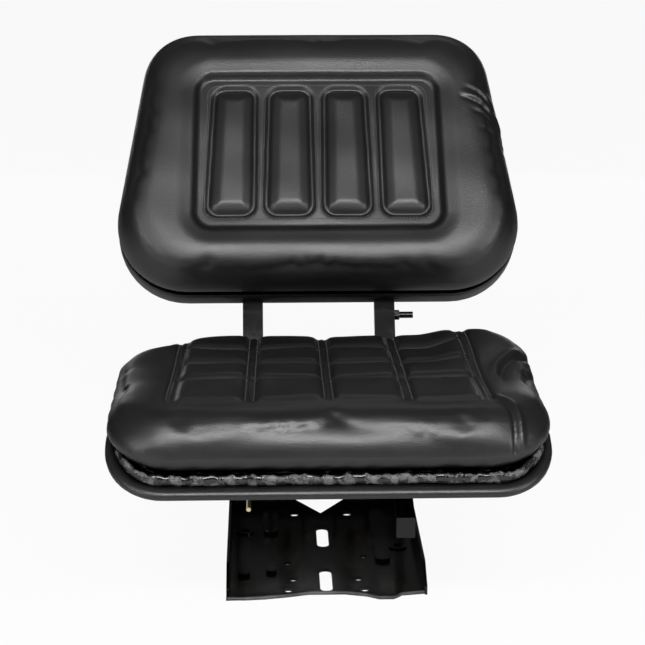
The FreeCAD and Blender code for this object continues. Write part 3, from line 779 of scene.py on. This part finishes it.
back_tree = surface_of(back_cover)
BACKWARD = LEAN.to_3x3() @ Vector((0, 1, 0))
WELD_OUT = 5.5
(low_half, low_scale), (high_half, high_scale) = pad_shape(0.0), pad_shape(1.0)
low_half, high_half = low_half + WELD_OUT, high_half + WELD_OUT
bm = bmesh.new()
weld_loop(bm, [(-PANEL[0] + 11, PANEL[2] + 11), (PANEL[0] - 11, PANEL[2] + 11),
               (PANEL[1] - 11, PANEL[3] - 10), (-PANEL[1] + 11, PANEL[3] - 10)], 14, 240, 0.0013)
for middle in PAD_X:
    low_x, high_x = middle * low_scale, middle * high_scale
    weld_loop(bm, [(low_x - low_half, PAD_LOW - WELD_OUT), (low_x + low_half, PAD_LOW - WELD_OUT),
                   (high_x + high_half, PAD_HIGH + WELD_OUT), (high_x - high_half, PAD_HIGH + WELD_OUT)],
              17, 110, 0.0009)
back_welds_painted_highlight = link_piece("back_welds_painted_highlight", bm)
finish_piece(back_welds_painted_highlight, stitch_and_weld_highlight, "carriage")

# %% [markdown]
# The studio is white for the camera, while a reflection sees at most a tenth of it, from above only, so that
# black vinyl stays black. A wide box above the front draws the long highlight on the front roll. Two tall
# boxes light the sides, and three weak ones the back.

# %% Floor, background and lamps
WHITE_SEEN = 1.0
FILL = 0.04
GLOSSY_SHARE = 0.10
FLOOR_GLOW = 0.94
FLOOR_DROP = 0.0004


def seen_mask(f):
    path = f.node("ShaderNodeLightPath")
    toward = f.node("ShaderNodeTexCoord")["Generated"]
    height = f.node("ShaderNodeSeparateXYZ", None, {"Vector": toward})["Z"]
    dome = f.ramp(height, 0.15, 0.80)
    return path["Is Camera Ray"] + path["Is Glossy Ray"] * dome * GLOSSY_SHARE + path["Is Transmission Ray"]


def studio_world():
    world = bpy.data.worlds.new("studio")
    bpy.context.scene.world = world
    world.use_nodes = True
    f = Finish("studio_helper")
    bpy.data.materials.remove(f.material)
    f.tree = world.node_tree
    f.tree.nodes.clear()
    strength = FILL + seen_mask(f) * (WHITE_SEEN - FILL)
    shader = f.node("ShaderNodeBackground", None, {"Color": (1, 1, 1, 1), "Strength": strength})["Background"]
    f.node("ShaderNodeOutputWorld", None, {"Surface": shader})


def floor_finish():
    f = Finish("pale_floor")
    plain = f.node("ShaderNodeBsdfDiffuse", None, {"Color": (0.86, 0.86, 0.87, 1)})["BSDF"]
    glow = f.node("ShaderNodeEmission", None, {"Color": (1, 1, 1, 1), "Strength": 1.0})["Emission"]
    mask = f.node("ShaderNodeLightPath")["Is Camera Ray"] * FLOOR_GLOW
    mixed = f.node("ShaderNodeMixShader", None, {0: mask, 1: plain, 2: glow})["Shader"]
    f.node("ShaderNodeOutputMaterial", None, {"Surface": mixed})
    return f.material


def studio_floor():
    bm = bmesh.new()
    bmesh.ops.create_grid(bm, x_segments=1, y_segments=1, size=12.0)
    mesh = bpy.data.meshes.new("floor")
    bm.to_mesh(mesh)
    bm.free()
    mesh.transform(Matrix.Translation((0, 0, -FLOOR_DROP)))
    floor = bpy.data.objects.new("floor", mesh)
    floor.data.materials.append(floor_finish())
    bpy.context.scene.collection.objects.link(floor)


def lamp(name, at, aim, wide, tall, watts):
    data = bpy.data.lights.new(name, "AREA")
    data.shape = "RECTANGLE"
    data.size = wide
    data.size_y = tall
    data.energy = watts
    box = bpy.data.objects.new(name, data)
    box.location = at
    box.rotation_mode = "QUATERNION"
    box.rotation_quaternion = (Vector(aim) - Vector(at)).to_track_quat("-Z", "Y")
    bpy.context.scene.collection.objects.link(box)


studio_world()
studio_floor()
lamp("front_box", (0.0, -2.07, 1.95), (0, 0, 0.25), 1.8, 0.30, 60)
lamp("left_box", (-1.7, -1.6, 1.0), (0, 0, 0.35), 0.30, 1.1, 14)
lamp("right_box", (1.7, -1.5, 1.0), (0, 0, 0.35), 0.30, 1.1, 14)
lamp("back_box", (0.3, 1.7, 1.9), (0, 0, 0.3), 1.2, 0.4, 1.2)
lamp("rear_left_box", (-0.8, 2.3, 0.40), (0, 0.1, 0.3), 0.5, 0.6, 1.4)
lamp("rear_right_box", (0.8, 2.3, 0.40), (0, 0.1, 0.3), 0.5, 0.6, 1.4)
